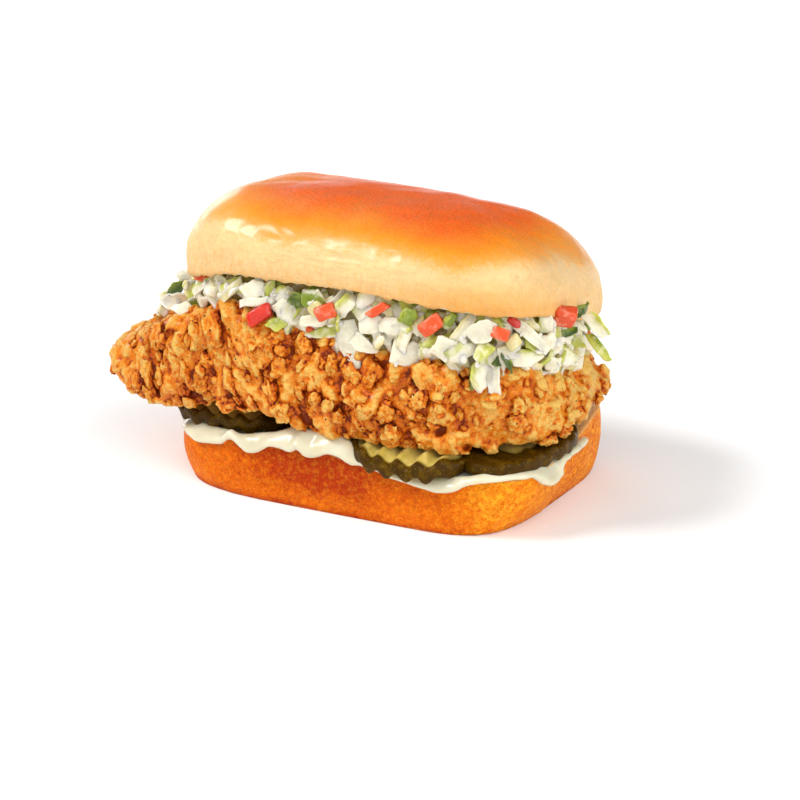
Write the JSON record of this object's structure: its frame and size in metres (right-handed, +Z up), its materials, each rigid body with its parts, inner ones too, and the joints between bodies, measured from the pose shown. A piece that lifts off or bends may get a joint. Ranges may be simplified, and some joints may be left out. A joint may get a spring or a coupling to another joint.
{
  "type": "chicken burger",
  "caption": "Long brioche roll filled with crinkle-cut pickles, mayonnaise, a craggy breaded chicken fillet that overhangs one end, and coleslaw under a domed glazed top.",
  "frame": {"origin": "middle of the flat underside of the roll's base", "axes": "+X along the roll, towards its blunt right end as seen from the front; -Y is the front, where the filling leans out; +Z up"},
  "size_m": [0.1452, 0.0856, 0.0842],
  "materials": {
    "roll_base": "golden-orange baked crust, matt",
    "mayonnaise": "wet off-white",
    "pickle": "wet olive green",
    "breading": "golden-brown craggy breading",
    "coleslaw": "creamy, dressed",
    "roll_top": "glazed orange-brown crown over a pale cream wall"
  },
  "bodies": {
    "root": {"roll_base": "roll_base", "mayonnaise": "mayonnaise", "pickle_front_left": "pickle", "pickle_front_middle": "pickle", "pickle_front_right": "pickle", "pickle_back_left": "pickle", "pickle_back_right": "pickle", "fillet": "breading", "coleslaw": "coleslaw", "roll_top": "roll_top"}
  },
  "joints": []
}
